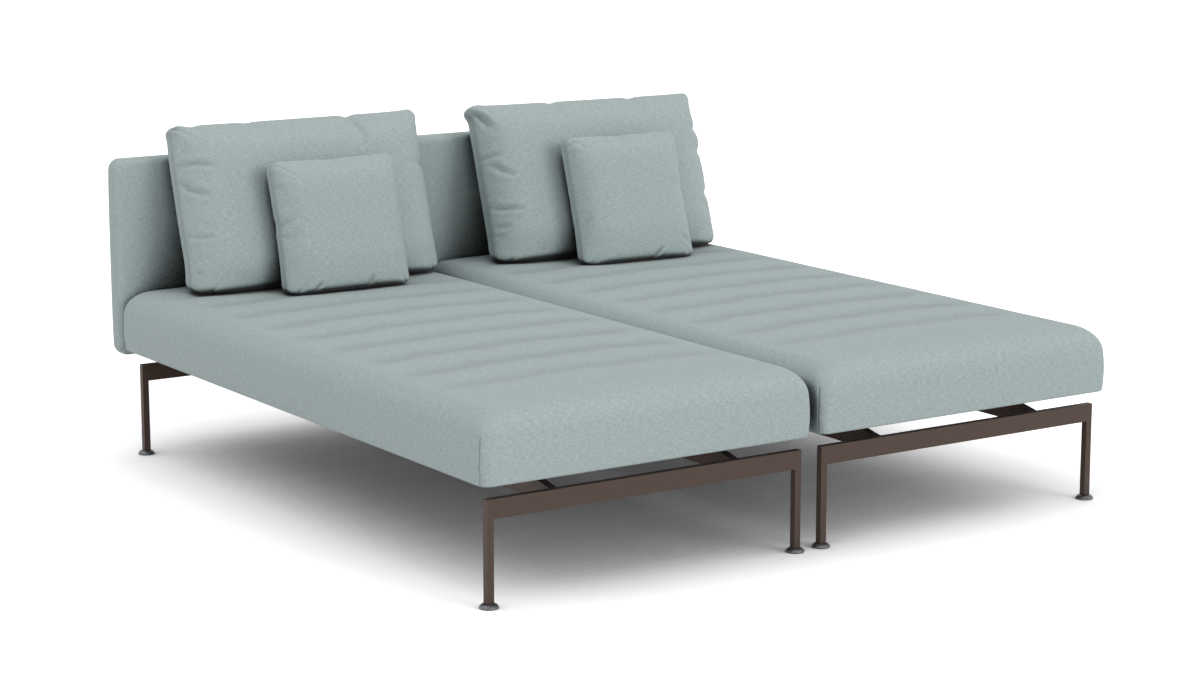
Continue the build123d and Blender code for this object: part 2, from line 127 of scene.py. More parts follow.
# %% Shade between pieces, mixing, and the place on an object
def painted_enclosed_shade(tree, reach, stops):
    """A painted shade for how enclosed a point is: darker where surfaces meet."""
    node = tree.nodes.new("ShaderNodeAmbientOcclusion")
    node.samples = 8
    node.inputs["Distance"].default_value = reach
    return colour_ramp(tree, node.outputs["AO"], [(share, (tone,) * 3) for share, tone in stops])


def multiplied(tree, colour, tone):
    """A colour multiplied by a tone."""
    node = tree.nodes.new("ShaderNodeMix")
    node.data_type = "RGBA"
    node.blend_type = "MULTIPLY"
    node.inputs["Factor"].default_value = 1.0
    tree.links.new(colour, node.inputs["A"])
    tree.links.new(tone, node.inputs["B"])
    return node.outputs["Result"]


def object_place(tree):
    """Where the shaded point lies on its object, and its normal there."""
    node = tree.nodes.new("ShaderNodeTexCoord")
    return node.outputs["Object"], node.outputs["Normal"]

# %% [markdown]
# The covers are an outdoor fabric of spun-dyed yarn in a plain weave. Two slightly different yarns
# are twisted together, so each thread changes tone along its length and the cloth looks heathered.
# A scanned cloth would have to be unwrapped, so the weave is worked out from three flat projections
# instead, and keeps its thread size on every piece. Painted shade darkens the colour in the folds,
# seams and dips where a cover is pressed, and where surfaces meet.

# %% The woven fabric
THREAD_PITCH = 1.6 * MM
SLUB_WIDTH = 1.9 * MM
SLUB_LENGTH = 14.0 * MM
WEFT_SHARE = 0.62
WARP_SHARE = 0.38
PAINTED_DIP_SHADE = 0.68
WEAVE_RELIEF = 0.25 * MM
FACING_SHARPNESS = 6.0
CLOTH_DARK = (0.280, 0.336, 0.338)
CLOTH_MID = (0.374, 0.440, 0.442)
CLOTH_LIGHT = (0.482, 0.552, 0.554)


def woven_tones(tree, across, along):
    """Height and tone of a plain weave in one projection."""
    turn = math.pi / THREAD_PITCH
    warp = math_node(tree, "SINE", math_node(tree, "MULTIPLY", across, turn))
    weft = math_node(tree, "SINE", math_node(tree, "MULTIPLY", along, turn))
    over = math_node(tree, "MULTIPLY", warp, weft)
    yarns = []
    for first, second in ((1 / SLUB_WIDTH, 1 / SLUB_LENGTH), (1 / SLUB_LENGTH, 1 / SLUB_WIDTH)):
        place = tree.nodes.new("ShaderNodeCombineXYZ")
        tree.links.new(math_node(tree, "MULTIPLY", across, first), place.inputs[0])
        tree.links.new(math_node(tree, "MULTIPLY", along, second), place.inputs[1])
        yarns.append(noise(tree, place.outputs[0], 1.0, detail=2.0, roughness=0.6))
    crosswise = math_node(tree, "MULTIPLY", yarns[1], WEFT_SHARE)
    lengthwise = math_node(tree, "MULTIPLY", yarns[0], WARP_SHARE)
    return over, math_node(tree, "ADD", lengthwise, crosswise)

# %% The fabric from its three projections
def outdoor_fabric():
    """Heathered grey-green plain weave."""
    material, tree, shader = new_material("outdoor_fabric_woven")
    place, normal = object_place(tree)
    axes = tree.nodes.new("ShaderNodeSeparateXYZ")
    facing = tree.nodes.new("ShaderNodeSeparateXYZ")
    tree.links.new(place, axes.inputs[0])
    tree.links.new(normal, facing.inputs[0])
    x, y, z = axes.outputs
    weights = [
        math_node(tree, "POWER", math_node(tree, "ABSOLUTE", side), FACING_SHARPNESS)
        for side in facing.outputs
    ]
    total = math_node(tree, "ADD", math_node(tree, "ADD", weights[0], weights[1]), weights[2])
    height, tone = None, None
    for weight, (across, along) in zip(weights, ((y, z), (x, z), (x, y))):
        part = math_node(tree, "DIVIDE", weight, total)
        relief, shade = woven_tones(tree, across, along)
        relief = math_node(tree, "MULTIPLY", relief, part)
        shade = math_node(tree, "MULTIPLY", shade, part)
        height = relief if height is None else math_node(tree, "ADD", height, relief)
        tone = shade if tone is None else math_node(tree, "ADD", tone, shade)
    colour = colour_ramp(tree, tone, ((0.31, CLOTH_DARK), (0.5, CLOTH_MID), (0.69, CLOTH_LIGHT)))
    # Painted shade: darker where surfaces enclose the cloth, and in the dips, folds and seams.
    shade = painted_enclosed_shade(tree, 0.18, ((0.19, 0.0), (0.31, 0.18), (0.41, 0.80), (0.51, 1.0)))
    pressed = tree.nodes.new("ShaderNodeAttribute")
    pressed.attribute_name = "pressed"
    dip = colour_ramp(tree, pressed.outputs["Fac"], ((0.0, (1, 1, 1)), (1.0, (PAINTED_DIP_SHADE,) * 3)))
    colour = multiplied(tree, multiplied(tree, colour, shade), dip)
    tree.links.new(colour, shader.inputs["Base Color"])
    shader.inputs["Roughness"].default_value = 0.92
    shader.inputs["Sheen Weight"].default_value = 0.12
    shader.inputs["Sheen Roughness"].default_value = 0.5
    shader.inputs["Specular IOR Level"].default_value = 0.2
    bump(tree, shader, height, WEAVE_RELIEF, 0.7)
    return material

# %% [markdown]
# The steel frame is welded, blasted and powder coated in a dark bronze. A powder coat melts into a
# skin with a very fine orange peel, a little glossy, and it shows a faint paler line where it draws
# thin over a sharp edge. Fine noise gives the peel and the speck. The paler line could be painted,
# but it is left to the eased edges, which catch the light by themselves.

# %% The frame's powder coat
def powder_coat():
    """Dark bronze powder coat with a fine orange peel."""
    material, tree, shader = new_material("frame_powder_coat_bronze")
    place, _ = object_place(tree)
    speck = noise(tree, place, 900.0, detail=2.0)
    colour = colour_ramp(tree, speck, ((0.3, (0.060, 0.038, 0.029)), (0.7, (0.086, 0.057, 0.045))))
    # Painted shade: the coat's colour darkens where parts meet and enclose it.
    shade = painted_enclosed_shade(tree, 0.10, ((0.2, 0.25), (0.65, 1.0)))
    tree.links.new(multiplied(tree, colour, shade), shader.inputs["Base Color"])
    rough = math_node(tree, "MULTIPLY_ADD", noise(tree, place, 60.0), 0.12)
    rough.node.inputs[2].default_value = 0.42
    tree.links.new(rough, shader.inputs["Roughness"])
    shader.inputs["Specular IOR Level"].default_value = 0.22
    bump(tree, shader, noise(tree, place, 420.0, detail=1.0), 0.05 * MM, 0.5)
    return material

# %% [markdown]
# The slats are drawn aluminium tube; the glides and the fastenings are plated steel. Plain grey
# metal would do from afar. Up close, drawing leaves fine lines along a tube, so its noise is
# stretched along the length, and plating grows in tiny crystals, so it gets a mottle of cells.

# %% The bare and plated metals
GLIDE_TONES = ((0.10, 0.10, 0.11), (0.17, 0.17, 0.185))
ZINC_TONES = ((0.42, 0.43, 0.45), (0.62, 0.63, 0.65))


def drawn_aluminium():
    """Drawn aluminium: fine lines along its length."""
    material, tree, shader = new_material("slat_aluminium_drawn")
    place, _ = object_place(tree)
    lines = noise(tree, scaled_place(tree, place, (3.0, 700.0, 700.0)), 1.0, detail=3.0)
    colour = colour_ramp(tree, lines, ((0.3, (0.50, 0.50, 0.51)), (0.7, (0.66, 0.66, 0.67))))
    tree.links.new(colour, shader.inputs["Base Color"])
    shader.inputs["Metallic"].default_value = 0.95
    rough = math_node(tree, "MULTIPLY_ADD", lines, 0.2)
    rough.node.inputs[2].default_value = 0.32
    tree.links.new(rough, shader.inputs["Roughness"])
    bump(tree, shader, lines, 0.03 * MM, 0.4)
    return material


def plated_steel(name, dark, light, roughness):
    """Zinc plating with its faint crystal mottle."""
    material, tree, shader = new_material(name)
    place, _ = object_place(tree)
    cells = tree.nodes.new("ShaderNodeTexVoronoi")
    cells.inputs["Scale"].default_value = 320.0
    tree.links.new(place, cells.inputs["Vector"])
    mottle = math_node(tree, "MULTIPLY", cells.outputs["Distance"], 0.5)
    tone = math_node(tree, "ADD", mottle, noise(tree, place, 180.0))
    colour = colour_ramp(tree, tone, ((0.4, dark), (0.9, light)))
    tree.links.new(colour, shader.inputs["Base Color"])
    shader.inputs["Metallic"].default_value = 0.9
    shader.inputs["Roughness"].default_value = roughness
    bump(tree, shader, noise(tree, place, 500.0), 0.03 * MM, 0.4)
    return material

# %% [markdown]
# Two more materials hide inside: the panels' birch plywood, and the black nylon of the plugs in
# the legs. Grey would do while they are hidden, but the lounger can be taken apart, so each gets a
# plain finish of its own.

# %% Plywood and nylon
def plywood():
    """Birch plywood: pale, with long soft grain."""
    material, tree, shader = new_material("panel_plywood_birch")
    place, _ = object_place(tree)
    grain = noise(tree, scaled_place(tree, place, (4.0, 160.0, 90.0)), 1.0, detail=4.0)
    colour = colour_ramp(tree, grain, ((0.3, (0.42, 0.28, 0.15)), (0.7, (0.60, 0.43, 0.26))))
    tree.links.new(colour, shader.inputs["Base Color"])
    shader.inputs["Roughness"].default_value = 0.7
    bump(tree, shader, grain, 0.1 * MM, 0.4)
    return material


def moulded_nylon():
    """Black nylon with a fine moulded texture."""
    material, tree, shader = new_material("black_nylon_moulded")
    place, _ = object_place(tree)
    grain = noise(tree, place, 1100.0, detail=2.0)
    colour = colour_ramp(tree, grain, ((0.3, (0.012, 0.012, 0.013)), (0.7, (0.024, 0.024, 0.026))))
    tree.links.new(colour, shader.inputs["Base Color"])
    shader.inputs["Roughness"].default_value = 0.5
    bump(tree, shader, grain, 0.05 * MM, 0.4)
    return material

# %% The list of finishes
FABRIC = outdoor_fabric()
FINISHES = {
    "outdoor_fabric": FABRIC,
    "frame_powder_coat": powder_coat(),
    "slat_aluminium": drawn_aluminium(),
    "glide_steel": plated_steel("glide_steel_satin", *GLIDE_TONES, 0.38),
    "black_nylon": moulded_nylon(),
    "panel_plywood": plywood(),
    "zinc_hardware": plated_steel("zinc_hardware_plated", *ZINC_TONES, 0.3),
}
print("finishes:", ", ".join(FINISHES))

# %% [markdown]
# ## The hard pieces
# They keep their CAD shapes. A tube or plate has no knife edges in life, so each gets a slim
# rounded edge that catches the light. It could be modelled, but a bevel modifier leaves the CAD
# mesh as it is. Fastenings and threaded pieces are too small to need one.

# %% Give the carried pieces their finishes and eased edges
EASED_WIDTHS = {
    "crossbar": 0.9, "leg": 0.9, "rail": 1.0, "post": 0.9,
    "bar": 0.8, "caps": 0.5, "board": 1.0, "brackets": 0.5,
}
EASED_ABOVE = math.radians(40)
eased_count = 0
for name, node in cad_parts.items():
    slots = node.data.materials
    for index, old in enumerate(slots):
        slots[index] = FINISHES[old.name.split(".")[0]]
    width = next((value for key, value in EASED_WIDTHS.items() if key in name), None)
    if width and "inserts" not in name:
        edge = node.modifiers.new("eased_edge", "BEVEL")
        edge.width = width * MM
        edge.segments = 2
        edge.limit_method = "ANGLE"
        edge.angle_limit = EASED_ABOVE
        edge.harden_normals = True
        eased_count += 1
print("pieces with eased edges:", eased_count)

# %% [markdown]
# ## Cutting and sewing helpers
# A box cushion or a panel cover is a foam block in a fitted cover: its mesh is a box of small
# squares whose edges are rolled round. A loose cushion is two sheets sewn together round their
# edges and stuffed. A subdivided cube would be quicker, but grid lines of one's own can lie close
# together where the cloth turns and far apart where it is flat.

# %% A box of small squares
def grid_lines(half, cell, ends):
    """Places along one side: close together near the ends, wider in the middle."""
    start = -half + ends[-1]
    count = max(2, round(-2 * start / cell))
    middle = [start + (-2 * start) * k / count for k in range(1, count)]
    return np.array([-half + e for e in ends] + middle + [half - e for e in reversed(ends)])


def grid_box(xs, ys, zs):
    """The surface of a box as points on grid lines, with its squares."""
    index, points, faces = {}, [], []
    nx, ny, nz = len(xs) - 1, len(ys) - 1, len(zs) - 1

    def vertex(i, j, k):
        key = (i, j, k)
        if key not in index:
            index[key] = len(points)
            points.append((xs[i], ys[j], zs[k]))
        return index[key]

    def square(corners, flip):
        quad = [vertex(*corner) for corner in corners]
        faces.append(quad[::-1] if flip else quad)

    for i in range(nx):
        for j in range(ny):
            for k, flip in ((0, True), (nz, False)):
                square(((i, j, k), (i + 1, j, k), (i + 1, j + 1, k), (i, j + 1, k)), flip)
    for i in range(nx):
        for k in range(nz):
            for j, flip in ((0, False), (ny, True)):
                square(((i, j, k), (i + 1, j, k), (i + 1, j, k + 1), (i, j, k + 1)), flip)
    for j in range(ny):
        for k in range(nz):
            for i, flip in ((0, True), (nx, False)):
                square(((i, j, k), (i, j + 1, k), (i, j + 1, k + 1), (i, j, k + 1)), flip)
    return np.array(points), faces

# %% Rolled edges and turned corners
TINY = 1e-9
CORNER_REACH = 160


def turned_corner(x, y, half_x, half_y, corner):
    """Bends the corners of a rectangle round; the halves and the corner may differ by point."""
    limit_x, limit_y = half_x - corner, half_y - corner
    over_x, over_y = abs(x) - limit_x, abs(y) - limit_y
    reach = np.maximum(np.hypot(over_x, over_y), TINY)
    in_corner = (over_x > 0) & (over_y > 0)
    size = np.maximum(over_x, over_y)
    turned_x = np.where(in_corner, np.sign(x) * (limit_x + size * over_x / reach), x)
    turned_y = np.where(in_corner, np.sign(y) * (limit_y + size * over_y / reach), y)
    return turned_x, turned_y


def rolled_box(points, half_x, half_y, height, top_roll, bottom_roll, low_corner, high_corner):
    """Rolls the edges and corners of a box that stands on z = 0; also gives each point's inset."""
    x, y, z = points.T
    edge = np.clip(np.minimum(half_x - abs(x), half_y - abs(y)), 0, None)
    upper = z > height / 2
    roll = np.where(upper, top_roll, bottom_roll)
    flat = np.where(upper, height - z, z)
    a, b = roll - edge, roll - flat
    length = np.maximum(np.hypot(a, b), TINY)
    turning = (a > 0) & (b > 0)
    new_edge = np.where(turning, roll * (1 - a / length), edge)
    new_flat = np.where(turning, roll * (1 - b / length), flat)
    z = np.where(upper, height - new_flat, new_flat)
    x = x * (half_x - new_edge) / np.maximum(half_x - edge, TINY)
    y = y * (half_y - new_edge) / np.maximum(half_y - edge, TINY)
    corner = low_corner + (high_corner - low_corner) * np.clip(z / height, 0, 1) ** 2
    corner = np.clip(corner * (1 - new_edge / CORNER_REACH), 0.5, None)
    x, y = turned_corner(x, y, half_x - new_edge, half_y - new_edge, corner)
    return np.stack([x, y, z], 1), new_edge


def smooth_step(value, low, high):
    """0 below low, 1 above high, eased between."""
    share = np.clip((value - low) / (high - low), 0, 1)
    return share * share * (3 - 2 * share)

# %% Turning points and squares into a cover
def sewn_piece(name, points, faces, body, replaced, pressed=None):
    mesh = bpy.data.meshes.new(name)
    mesh.from_pydata([tuple(p) for p in np.asarray(points) * MM], [], faces)
    mesh.shade_smooth()
    piece = bpy.data.objects.new(name, mesh)
    scene.collection.objects.link(piece)
    mesh.materials.append(FABRIC)
    # The pressed attribute carries painted shade, the darkening of the cloth's colour.
    if pressed is not None:
        mesh.attributes.new("pressed", "FLOAT", "POINT").data.foreach_set("value", pressed)
    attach(piece, body)
    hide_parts(replaced)
    low, high = np.asarray(points).min(0), np.asarray(points).max(0)
    print(name, "points", len(points), "from", low.round(1), "to", high.round(1))

# %% [markdown]
# ## Back panels
# Each is a plywood board wrapped in foam and pulled into a fitted cover, closed underneath where
# the two posts go in. The cover rolls softly over its edges and bellies a millimetre or so between
# them. Foam holds its shape, so instead of a cloth simulation a few waves bend the rolled box.

# %% Measures of a panel cover
MODULE_PITCH = 909.0
PANEL = {"width": 894.0, "height": 526.0, "thickness": 60.0, "bottom": 254.0, "front": 895.0}
PANEL_LINES = (0, 3, 6.5, 10, 14, 18, 23, 29, 36, 44, 56)
PANEL_LAYERS = (0, 3, 6.5, 10, 14, 20, 30, 40, 46, 50, 53.5, 57, 60.0)
PANEL_CELL = 16
PANEL_ROLL = 20
PANEL_CORNER = 28
PANEL_BELLY = 1.2
PANEL_FULLNESS = 3.0

# %% A panel cover
def panel_cover(centre_x):
    """The cover in the room: its plan is the panel's face, its height the thickness."""
    half_x, half_z = PANEL["width"] / 2, PANEL["height"] / 2
    depth = PANEL["thickness"]
    across = grid_lines(half_x, PANEL_CELL, PANEL_LINES)
    upward = grid_lines(half_z, PANEL_CELL, PANEL_LINES)
    points, faces = grid_box(across, upward, np.array(PANEL_LAYERS))
    rolls, corners = (PANEL_ROLL, PANEL_ROLL), (PANEL_CORNER, PANEL_CORNER)
    points, edge = rolled_box(points, half_x, half_z, depth, *rolls, *corners)
    x, z, y = points.T
    front = y > depth / 2
    slack = np.clip(edge / 150, 0, 1)
    belly = PANEL_BELLY * np.sin(x / 61 + z / 97) * np.sin(z / 73 - x / 151)
    belly = belly * smooth_step(edge, 20, 120)
    y = y + np.where(front, belly - PANEL_BELLY * slack, -belly + PANEL_BELLY * slack)
    fullness = PANEL_FULLNESS * (1 - (z / half_z) ** 4) * (abs(x) / half_x) ** 8
    x = x + np.sign(x) * fullness
    world = np.stack([centre_x + x, PANEL["front"] + depth - y, PANEL["bottom"] + half_z + z], 1)
    return world, faces

# %% Sew the two panel covers
for side, sign in SIDES.items():
    points, faces = panel_cover(sign * MODULE_PITCH / 2)
    name, replaced = f"{side}_panel_cover", f"{side}_back_panel_upholstery"
    sewn_piece(name, points, faces, "base_frame", replaced)

# %% [markdown]
# ## Seat cushions
# One long slab of foam each, wrapped in wadding and zipped into a boxed cover. The top sheet and
# the front are one piece of cloth rolled over the edge; the side walls join it in an upright seam
# at each corner. Shallow waves cross the top, and the cloth's colour carries painted shade in their
# dips and along the side seams. A simulation would put them anywhere, so they are drawn with the
# pitch that the photograph shows.

# %% Measures of a seat cover
SEAT = {"length": 1849.7, "height": 167.0, "bottom": 273.3, "front": -955.0}
SEAT_CROWN = 8.0
SEAT_SPANS = {"left": (-901.5, -12.0), "right": (13.5, 907.0)}
SEAM_BACK = 19.0
WAVE_PITCH = 172.0
WAVE_START = 74.0
WAVE_DEPTH = 4.5
WAVE_BOW = 0.00018
SEAT_LINES = (0, 4, 8, 12, 15, 17, 18.2, 19, 19.8, 21, 23, 26, 31, 38, 46, 55, 66, 78)
SEAT_LAYERS = (
    0, 1.2, 2.6, 4.2, 6, 10, 16, 24, 36, 50, 64, 76,
    86, 95, 103, 110, 117, 124, 130, 136, 142, 147, 152,
)
SEAT_CELLS = (15, 14)
SEAT_ROLLS = (50, 6)
SEAT_CORNERS = (20, 52)
SEAT_BELLY = 4.0
SEAT_REAR_SAG = 3.0
FRONT_CURL = 1.5
SEAM_TOP = (100, 125)
SEAM_CUT = 3.2
SEAM_STRAIN = 0.7

# %% A seat cover
def seat_cover(span):
    """The cover with its rolled edges, side seams and waves, and its painted shade."""
    half_x, half_y = (span[1] - span[0]) / 2, SEAT["length"] / 2
    shoulder = SEAT["height"] - SEAT_CROWN
    across = grid_lines(half_x, SEAT_CELLS[0], SEAT_LINES)
    along = grid_lines(half_y, SEAT_CELLS[1], SEAT_LINES)
    points, faces = grid_box(across, along, np.array([*SEAT_LAYERS, shoulder]))
    side_wall = abs(abs(points[:, 0]) - half_x) < 1e-6
    seam_distance = abs(half_y - abs(points[:, 1]) - SEAM_BACK)
    points, edge = rolled_box(points, half_x, half_y, shoulder, *SEAT_ROLLS, *SEAT_CORNERS)
    x, y, z = points.T
    level = z / shoulder
    belly = SEAT_BELLY * (np.sin(np.pi * np.clip(level, 0, 1)) - 1)
    outward_x = smooth_step(abs(x), half_x - 60, half_x - 10)
    outward_y = smooth_step(abs(y), half_y - 60, half_y - 10)
    x = x + np.sign(x) * outward_x * belly
    y = y + np.sign(y) * outward_y * belly
    top = level > 0.75
    edge_crown = 0.5 * np.sin(np.pi / 2 * np.clip((edge - 3) / 105, 0, 1))
    crown = edge_crown + 0.5 * (1 - (x / half_x) ** 2)
    z = z + SEAT_CROWN * np.where(top, crown * smooth_step(edge, 0, 60), 0)
    zone = smooth_step(edge, 25, 130) * smooth_step(y, -half_y + 40, -half_y + 430) * top
    wobble = 5 * np.sin(x / 47 + y / 90) + 3 * np.sin(x / 19 - y / 60)
    phase = (y - WAVE_START + WAVE_BOW * (x - 50) ** 2 + wobble) / WAVE_PITCH
    swing = np.cos(2 * np.pi * phase + 0.35 * np.sin(2 * np.pi * phase))
    wave = (0.5 + 0.5 * swing) ** 1.5 * zone
    z = z - WAVE_DEPTH * wave
    rear = smooth_step(y, half_y - 420, half_y - 60)
    z = z - SEAT_REAR_SAG * rear * top * smooth_step(edge, 0, 60)
    curl = smooth_step(-y, half_y - 60, half_y) * (1 - smooth_step(z, 0, 60))
    z = z + FRONT_CURL * curl
    seam = np.exp(-((seam_distance / 1.3) ** 2)) * side_wall * (1 - smooth_step(z, *SEAM_TOP))
    x = x - np.sign(x) * SEAM_CUT * seam
    strain = side_wall * np.exp(-((seam_distance - 7) / 5.0) ** 2)
    strain = strain * (1 - smooth_step(z, *SEAM_TOP))
    x = x - np.sign(x) * SEAM_STRAIN * strain * np.sin(z / 9.0)
    front_y = SEAT["front"] + half_y
    world = np.stack([(span[0] + span[1]) / 2 + x, front_y + y, SEAT["bottom"] + z], 1)
    # Painted shade: the weights darken the cloth in the waves' dips and along the side seams.
    return world, faces, np.maximum(0.5 * wave, 0.8 * seam)

# %% Sew the two seat covers
for side, span in SEAT_SPANS.items():
    points, faces, painted_cover_shade = seat_cover(span)
    name, replaced = f"{side}_seat_cover", f"{side}_seat_cushion"
    sewn_piece(name, points, faces, f"{side}_seat", replaced, painted_cover_shade)

# %% [markdown]
# ## Loose cushions
# Each is sewn from two equal sheets and filled with fibre. The filling pushes the sheets apart, and
# the seam, which can't stretch, gathers into small puckers and leaves an ear at each corner. A
# simulation alone would give a cushion of its own choosing. So the sheets start with a worked-out
# swell, a short cloth simulation loosens it by no more than a set amount, and then the folds that
# the photograph shows are pressed in.

# %% Crowded grid lines and a smoother
def warped(count, crowd=0.35):
    """Grid shares from -1 to 1, crowded toward the seam."""
    share = np.linspace(-1, 1, count)
    return share + crowd / np.pi * np.sin(np.pi * share)


def eased(depth, rise, rounds=70):
    """Smooths the swell away from the seam, so that it turns softly round the corners."""
    share = 0.5 * smooth_step(rise, 0.05, 0.4)
    for _ in range(rounds):
        around = sum(np.roll(depth, step, axis) for step in (-1, 1) for axis in (0, 1)) / 4
        depth = depth + share * (around - depth)
    return depth

# %% Two sheets with their swell
FRONT_PLUMPNESS = 0.60
BACK_PLUMPNESS = 0.45
BACK_SHARE = 0.6
SWELL_SHARE = 0.48


def two_sheets(size, cells, puckers, ears):
    """The two sheets of a cushion, joined round the seam, on the plane of that seam."""
    across, up = warped(cells[0] + 1), warped(cells[1] + 1)
    s, t = np.meshgrid(across, up, indexing="ij")
    half_x, half_y = size["width"] / 2, size["height"] / 2
    inset = np.minimum((1 - np.abs(s)) * half_x, (1 - np.abs(t)) * half_y)
    corner = np.clip(size["corner"] * (1 - inset / (3 * size["corner"])), 0.5, None)
    x, y = turned_corner(s * half_x, t * half_y, half_x - inset, half_y - inset, corner)
    pull_x, pull_y = size["draw"] * (1 - t ** 2), size["draw"] * (1 - s ** 2)
    for edge, place, depth, width in puckers:
        along, half = (t, half_y) if edge in ("left", "right") else (s, half_x)
        dip = depth * np.exp(-(((along - place) * half / width) ** 2))
        if edge in ("left", "right"):
            pull_x = pull_x + dip * np.clip(s if edge == "right" else -s, 0, 1) ** 3
        else:
            pull_y = pull_y + dip * np.clip(t if edge == "top" else -t, 0, 1) ** 3
    x, y = x - s * pull_x, y - t * pull_y
    for place, shift, reach in ears:
        gap_x, gap_y = x - place[0] * half_x, y - place[1] * half_y
        weight = np.exp(-((gap_x ** 2 + gap_y ** 2) / reach ** 2))
        x, y = x + shift[0] * weight, y + shift[1] * weight
    sheets = []
    for share, plumpness in ((1.0, FRONT_PLUMPNESS), (BACK_SHARE, BACK_PLUMPNESS)):
        side_run, foot_run = share * size["run"], share * size["foot_run"]
        runs = (
            (1 - np.abs(s)) * half_x / side_run,
            (1 - t) * half_y / side_run,
            (1 + t) * half_y / foot_run,
        )
        rise = np.clip(sum((run + 1e-6) ** -3 for run in runs) ** (-1 / 3), 0, 1)
        swell = SWELL_SHARE * size["thickness"] * np.sin(np.pi / 2 * rise) ** plumpness
        sheets.append(eased(swell, rise))
    return x, y + half_y, *sheets

# %% One closed mesh from the two sheets
def sheet_mesh(x, y, front_depth, back_depth):
    """Points and squares of the closed cover; the seam's points are shared."""
    nu, nv = x.shape
    front = np.arange(nu * nv).reshape(nu, nv)
    inner = np.zeros((nu, nv), bool)
    inner[1:-1, 1:-1] = True
    back = front.copy()
    back[inner] = nu * nv + np.arange(inner.sum())
    points = np.concatenate([
        np.stack([x.ravel(), y.ravel(), front_depth.ravel()], 1),
        np.stack([x[inner], y[inner], -back_depth[inner]], 1),
    ])
    faces = []
    for i in range(nu - 1):
        for j in range(nv - 1):
            faces.append([front[i, j], front[i + 1, j], front[i + 1, j + 1], front[i, j + 1]])
            faces.append([back[i, j], back[i, j + 1], back[i + 1, j + 1], back[i + 1, j]])
    return points, [[int(v) for v in face] for face in faces]

# %% The filling: a short cloth simulation
FILLING_STEPS = 20
FILLING_PRESSURE = 4
SLACK = 0.03
SIDEWAYS_SHARE = 0.3
FOOT_FADE = (40, 120)


def filled(name, points, faces, cap):
    """Blows the cover up as cloth, moving no point further than the cap."""
    mesh = bpy.data.meshes.new(name)
    mesh.from_pydata([tuple(p) for p in points * MM], [], faces)
    cover = bpy.data.objects.new(name, mesh)
    scene.collection.objects.link(cover)
    cloth = cover.modifiers.new("filling", "CLOTH")
    settings = cloth.settings
    settings.quality = 5
    settings.mass = 0.3
    settings.tension_stiffness = 15
    settings.compression_stiffness = 15
    settings.bending_stiffness = 0.6
    settings.shrink_min = -SLACK
    settings.use_pressure = True
    settings.uniform_pressure_force = FILLING_PRESSURE
    settings.effector_weights.gravity = 0
    cloth.collision_settings.use_collision = False
    for number in range(1, FILLING_STEPS + 1):
        scene.frame_set(number)
    ready = cover.evaluated_get(bpy.context.evaluated_depsgraph_get())
    moved = np.empty(len(points) * 3)
    ready.data.vertices.foreach_get("co", moved)
    bpy.data.objects.remove(cover)
    scene.frame_set(1)
    shift = moved.reshape(-1, 3) / MM - points
    length = np.maximum(np.linalg.norm(shift, axis=1, keepdims=True), TINY)
    print(name, "cloth moved up to", round(float(length.max()), 1), "mm")
    capped = shift * np.tanh(length / cap) * cap / length
    shift = capped * smooth_step(points[:, 1:2], *FOOT_FADE)
    return points + shift * (SIDEWAYS_SHARE, SIDEWAYS_SHARE, 1.0)

# %% A finer mesh that knows its seam
def finer(points, faces):
    """One smooth subdivision; also tells how near each point is to the seam, 0 to 1."""
    mesh = bpy.data.meshes.new("finer")
    mesh.from_pydata([tuple(p) for p in points], [], faces)
    edges = {}
    for number, face in enumerate(faces):
        for start, end in zip(face, face[1:] + face[:1]):
            edges.setdefault((min(start, end), max(start, end)), []).append(number % 2)
    on_seam = np.zeros(len(points))
    for pair, sheets in edges.items():
        if len(set(sheets)) == 2:
            on_seam[list(pair)] = 1.0
    mesh.attributes.new("seam", "FLOAT", "POINT").data.foreach_set("value", on_seam)
    holder = bpy.data.objects.new("finer", mesh)
    scene.collection.objects.link(holder)
    halve = holder.modifiers.new("halve", "SUBSURF")
    halve.levels = 1
    ready = holder.evaluated_get(bpy.context.evaluated_depsgraph_get())
    result = ready.to_mesh()
    fine = np.empty(len(result.vertices) * 3)
    result.vertices.foreach_get("co", fine)
    squares = [list(polygon.vertices) for polygon in result.polygons]
    seam = np.empty(len(result.vertices))
    result.attributes["seam"].data.foreach_get("value", seam)
    ready.to_mesh_clear()
    bpy.data.objects.remove(holder)
    return fine.reshape(-1, 3), squares, seam

# %% The seam and its gathers
SEAM_DEPTH = 4.0
GATHER = 0.9


def sewn(points, seam, size):
    """Pulls the seam into a groove and gathers the sheets beside it."""
    x, y, depth = points.T
    half_x, half_y = size["width"] / 2, size["height"] / 2
    lean_x, lean_y = x / half_x, (y - half_y) / half_y
    out_x, out_y = np.sign(lean_x) * abs(lean_x) ** 9, np.sign(lean_y) * abs(lean_y) ** 9
    reach = np.maximum(np.hypot(out_x, out_y), 1e-6)
    groove = SEAM_DEPTH * np.clip(seam, 0, 1) ** 1.5
    from_side, from_end = half_x - abs(x), half_y - abs(y - half_y)
    gather = np.zeros(len(points))
    for distance, along in ((from_side, y), (from_end, x)):
        ripple = np.sin(along / 5.3 + 1.7 * np.sin(along / 31))
        ripple = ripple + 0.6 * np.sin(along / 8.9 + np.sin(along / 47))
        inside = np.clip(distance, 0, None)
        gather += ripple * np.exp(-inside / 20) * (1 - np.exp(-inside / 5))
    sheet = np.sign(depth) * smooth_step(abs(depth), 1, 12) * smooth_step(y, 60, 150)
    inner_x, inner_y = x - groove * out_x / reach, y - groove * out_y / reach
    return np.stack([inner_x, inner_y, depth + GATHER * gather * sheet], 1)

# %% Folds
RIDGE_SHARE = 0.45


